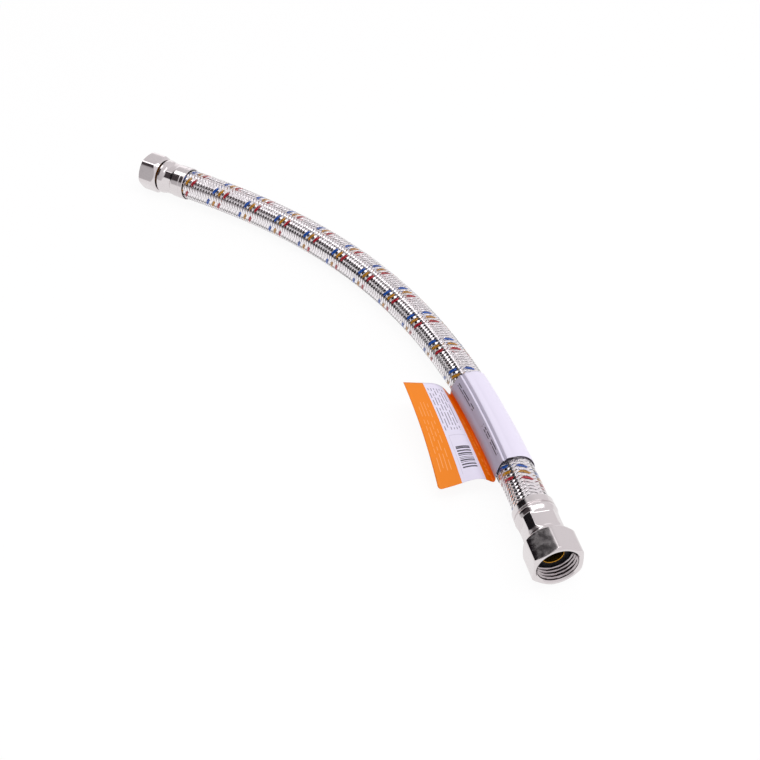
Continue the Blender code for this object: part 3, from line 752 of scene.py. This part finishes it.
def swivel_nut(name, node, body, end, start, length, apothem, blank, back_wall, back_chamfer, turn, worn):
    """A nut turned from round bar of the radius blank, with six flats milled on it and a thread cut in
    it up to the back wall. Polishing has worn the corners between its flats round."""
    finish = start + length
    rim = apothem - RIM
    countersink = (apothem - THREAD) / 2
    front_chamfer = (blank - rim) * math.tan(CHAMFER_ANGLE)
    outline = [(start, apothem - BACK_EDGE), (start + back_chamfer, blank), (finish - front_chamfer, blank),
               (finish, rim), (finish, THREAD + countersink), (finish - countersink, THREAD),
               (start + back_wall, THREAD), (start + back_wall, NUT_HOLE), (start, NUT_HOLE)]
    thread_start = start + back_wall + RUN_IN
    thread_end = finish - countersink + RUN_OUT

    def rule(t, radius, angle):
        off = (angle - math.radians(turn)) % (math.pi / 3) - math.pi / 6
        faces = softer_min(apothem / np.cos(off), apothem / np.cos(math.pi / 3 - np.abs(off)), worn)
        milled = softer_min(radius, faces, NUT_SOFTNESS)
        phase = (t / PITCH - angle / (2 * math.pi)) % 1
        tooth = np.clip(TOOTH_SLOPE * (np.abs(2 * phase - 1) - 0.5), -1, 1)
        share = smoothstep((t - thread_start) / PITCH) * smoothstep((thread_end - t) / FADE_OUT)
        cut = (np.abs(radius - THREAD) < THREAD_BAND) & (t > start + back_wall + NEAR)
        return milled + np.where(cut, tooth * share * THREAD_DEPTH, 0)

    half_flat = np.array(HALF_FLAT)
    flat = np.radians(np.concatenate([half_flat, -half_flat[-2:0:-1]]))
    angles = np.concatenate([flat + math.radians(60 * k + 30 + turn) for k in range(6)])
    outline = in_steps(eased(outline, LATHE_EDGE), NUT_STEP)
    made = turned(name, outline, end, nickel, rule, angles)
    made.data.materials.append(thread_plate_and_shade)
    made.data.materials.append(painted_shade_thread_root)
    inner = [point[1] < THREAD + THREAD_BAND for point in outline]
    # Faces in the thread get its darker nickel, and those deep in its roots the painted shade
    for face in made.data.polygons:
        rows = {v // len(angles) for v in face.vertices}
        spot = face.center - end[0]
        deep = spot.cross(end[1]).length > THREAD + ROOT_BAND
        face.material_index = (2 if deep else 1) if all(inner[row] for row in rows) else 0
    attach(made, body)
    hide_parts(node)
    return made


swivel_nut("front_swivel_nut", "front_nut", "front_nut", FRONT_END, start=21.4 * MM, length=15.6 * MM,
           apothem=12.0 * MM, blank=13.706 * MM, back_wall=3.5 * MM, back_chamfer=2.4 * MM, turn=30,
           worn=0.5 * MM)
rear_nut = swivel_nut(
    "rear_swivel_nut", "rear_nut", "rear_nut", REAR_END, start=20.6 * MM, length=12.4 * MM,
    apothem=11.0 * MM, blank=12.3 * MM, back_wall=2.7 * MM, back_chamfer=2.6 * MM, turn=0,
    worn=0.9 * MM)

# The label: one strip of printed film, wrapped once round the hose. Its end is stuck down beside
# the hose, and the rest stands out from there as a flag, up at the rear and low in front.
LABEL_START = 258.3 * MM          # along the hose from the rear ferrule's lip
LABEL_WIDTH = 67.4 * MM
LABEL_WRAP = 9.9 * MM             # radius of the wrapped strip
LABEL_THICKNESS = 0.15 * MM
FOLD = 92                         # degrees from the top of the hose to the fold beside it
TAIL = -239                       # and on over the top and underneath to the end that is stuck down
# On the left the wrap has creases, as (degrees from the top, stand-off from the round wrap in mm)
CREASES_REAR = [(92, 0.6), (61, 0.0), (31, 0.9), (28, 0.35), (17, 0.75), (3, 0.0)]
CREASES_FRONT = [(92, 0.1), (61, 0.0), (38, 0.9), (35, 0.35), (24, 0.75), (9, 0.0)]
# The flag's rear and front edges from the fold outwards, as (distance from the hose's side, height,
# shift towards the front) in mm
FLAG_REAR_EDGE = [(1.25, 6.6, -0.6), (3.85, 10.0, -1.8), (15.45, 16.3, -4.5), (26.65, 20.5, -4.5)]
FLAG_FRONT_EDGE = [(1.15, 6.4, -0.8), (4.85, 8.7, -1.0), (18.15, 8.5, -1.6), (29.35, 7.0, -1.1)]
CORNER = 2.2 * MM                 # radius of the flag's free corner in front
CORNER_ROWS = [1, 0.75, 0.5, 0.3, 0.15, 0.05, 0]    # shares of that radius, closer at the very edge
PLAIN_ROWS = 48
FLAG_COLUMNS = 40
FLAG_POINTS = 200                 # along the flag, before its columns are set out
WRAP_COLUMNS = 92                 # and one at each crease
PRINT_ANGLE = 100                 # degrees round the hose for 1 of the print's measure across
CREASE_SHARP = 20                 # degrees
ROW_SHIFT = 7.3                   # of the noise from one printed row to the next
SLANT = 0.07                      # of the painted shade's lower edge on the wrap, across for each 1 of the length

along = np.concatenate([[0], np.cumsum(np.linalg.norm(np.diff(line, axis=0), axis=1))])
ahead, left, up = frames(line)
# Rows across the strip, closer together at its rounded corner
shares = np.concatenate([np.linspace(0, 1 - CORNER / LABEL_WIDTH, PLAIN_ROWS, endpoint=False),
                         1 - CORNER / LABEL_WIDTH * np.array(CORNER_ROWS)])
vertices = []
print_places = []
for share in shares:
    place = LABEL_START + share * LABEL_WIDTH
    centre, forward, out_way, up_way = (np.array([np.interp(place, along, v[:, k]) for k in range(3)])
                                        for v in (line, ahead, left, up))
    creases = (1 - share) * np.array(CREASES_REAR) + share * np.array(CREASES_FRONT)
    regular = np.linspace(FOLD, TAIL, WRAP_COLUMNS + 1)
    angles = np.unique(np.concatenate([regular, creases[1:-1, 0]]))[::-1]
    stand = np.interp(-angles, [*-creases[:, 0], -TAIL], [*creases[:, 1], 0]) * MM
    wrap = [centre + (LABEL_WRAP + s) * (math.cos(a) * up_way + math.sin(a) * out_way)
            for a, s in zip(np.radians(angles), stand)]
    edge = (1 - share) * np.array(FLAG_REAR_EDGE) + share * np.array(FLAG_FRONT_EDGE)
    edge = [np.array((*centre[:2], height)) + (HOSE_RADIUS + out) * out_way + shift * forward
            for out, height, shift in edge * MM]
    leaving, ending = edge[0] - wrap[0], edge[-1] - edge[-2]
    leaving /= np.linalg.norm(leaving)
    ending /= np.linalg.norm(ending)
    flag = smooth_route([wrap[0], *edge], leaving, ending, FLAG_POINTS)
    to_front = (1 - share) * LABEL_WIDTH
    cut = CORNER - math.sqrt(CORNER**2 - max(0, CORNER - to_front)**2)
    first = cut / length_of(flag)
    across = np.linspace(first, 1, FLAG_COLUMNS + 1)
    places = np.linspace(0, 1, FLAG_POINTS)
    flag = np.stack([np.interp(1 - across, places, flag[:, k]) for k in range(3)], axis=1)
    vertices += [*flag[:-1], *wrap]
    print_places += [(u, share) for u in across[:-1]]
    print_places += [(1 + (FOLD - a) / PRINT_ANGLE, share) for a in angles]
columns = len(vertices) // len(shares)

film, tree, shader = principled("printed_film_label", {"IOR": 1.4})
# Film that has been handled: waves of about 8 mm, a hundredth of a millimetre or two deep
uneven(tree, shader, 130.0, 0.3, 0.45, 0.02 * MM)
ways = add(tree, "ShaderNodeUVMap", uv_map="print")
parts = add(tree, "ShaderNodeSeparateXYZ", {0: ways.outputs[0]})
across, lengthwise = parts.outputs[0], parts.outputs[1]


def sum_of(operation, *values):
    """A calculation in the film's tree."""
    return calculate(tree, operation, *values)


def between(value, low, high):
    """1 where a value lies between two others, else 0."""
    return sum_of("MULTIPLY", sum_of("GREATER_THAN", value, low), sum_of("LESS_THAN", value, high))


def lines(value, low, high, count, share):
    """1 on evenly spaced lines between two values."""
    phase = sum_of("FRACT", sum_of("MULTIPLY", sum_of("SUBTRACT", value, low), count / (high - low)))
    return sum_of("MULTIPLY", sum_of("LESS_THAN", phase, share), between(value, low, high))


def broken(value, scale, share, seed, row=0.0):
    """1 on runs of uneven length along a value, which differ from row to row."""
    start = sum_of("MULTIPLY_ADD", row, ROW_SHIFT, seed)
    noise = add(tree, "ShaderNodeTexNoise", {
        "W": sum_of("ADD", value, start), "Scale": scale, "Detail": 0.0}, noise_dimensions="1D")
    return sum_of("LESS_THAN", noise.outputs[0], share)


def row_of(value, low, high, count):
    """Which of the evenly spaced lines a value is on, as a whole number."""
    return sum_of("FLOOR", sum_of("MULTIPLY", sum_of("SUBTRACT", value, low), count / (high - low)))


def both(*marks):
    """1 where all of the given marks are 1."""
    total = marks[0]
    for mark in marks[1:]:
        total = sum_of("MULTIPLY", total, mark)
    return total


fields = add(tree, "ShaderNodeValToRGB", {0: across})
ramp = fields.color_ramp
ramp.interpolation = "CONSTANT"
ramp.elements[0].color = colour("#F08404")
ramp.elements[1].position = 1.0
ramp.elements[1].color = colour("#E6E1F3")
for position, code in ((0.345, "#E5E0F2"), (0.70, "#EC7402")):
    more = ramp.elements.new(position)
    more.color = colour(code)
# Painted shade in grey on the wrap's side facet and on a stripe past its ridge, and plain lines and
# bars in place of the print, none of which can be read.
# Across, the flag goes from 0 at its edge to 1 at the fold, and the wrap on from there.
# Lengthwise, the strip goes from 0 at the rear to 1 in front.
slanted = sum_of("MULTIPLY_ADD", lengthwise, SLANT, across)
print_and_painted_shade = [
    # Painted shade on the wrap's side facet, from the fold up to the ridge of its crease
    (between(slanted, 1.0, 1.60), "#B5B0C3"),
    # Painted shade on the narrow stripe just past that ridge
    (between(slanted, 1.645, 1.73), "#BAB5C8"),
    (both(lines(across, 0.38, 0.66, 6, 0.3), between(lengthwise, 0.06, 0.50),
          broken(lengthwise, 26, 0.60, 3, row_of(across, 0.38, 0.66, 6))), "#8E8A9C"),
    (both(between(across, 0.43, 0.645), between(lengthwise, 0.66, 0.89), broken(lengthwise, 75, 0.5, 7)),
     "#4E4A58"),
    (both(between(across, 0.395, 0.40), between(lengthwise, 0.55, 0.93)), "#C9C4D8"),
    (both(between(across, 0.395, 0.675), between(lengthwise, 0.55, 0.5545)), "#C9C4D8"),
    (both(lines(across, 0.09, 0.31, 4, 0.2), between(lengthwise, 0.2, 0.86),
          broken(lengthwise, 16, 0.57, 9, row_of(across, 0.09, 0.31, 4))), "#F6A45A"),
    (both(between(across, 0.79, 0.83), between(lengthwise, 0.22, 0.94), broken(lengthwise, 30, 0.5, 2)),
     "#F59A45"),
    (both(lines(across, 1.36, 1.50, 2, 0.45), between(lengthwise, 0.05, 0.36),
          broken(lengthwise, 20, 0.62, 5, row_of(across, 1.36, 1.50, 2))), "#45424F"),
    (both(lines(across, 1.40, 1.54, 2, 0.45), between(lengthwise, 0.55, 0.9),
          broken(lengthwise, 20, 0.62, 11, row_of(across, 1.40, 1.54, 2))), "#45424F")]
paint = fields.outputs[0]
for mark, code in print_and_painted_shade:
    paint = blend(tree, mark, paint, colour(code))
tree.links.new(paint, shader.inputs["Base Color"])

label = mesh_object("label_film", vertices, grid_faces(len(shares), columns, closed_columns=False), film,
                    CREASE_SHARP)
uv = label.data.uv_layers.new(name="print")
for loop in label.data.loops:
    uv.data[loop.index].uv = print_places[loop.vertex_index]
shell = label.modifiers.new("film", "SOLIDIFY")
shell.thickness = LABEL_THICKNESS
shell.offset = 0
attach(label, "hose")
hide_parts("label")
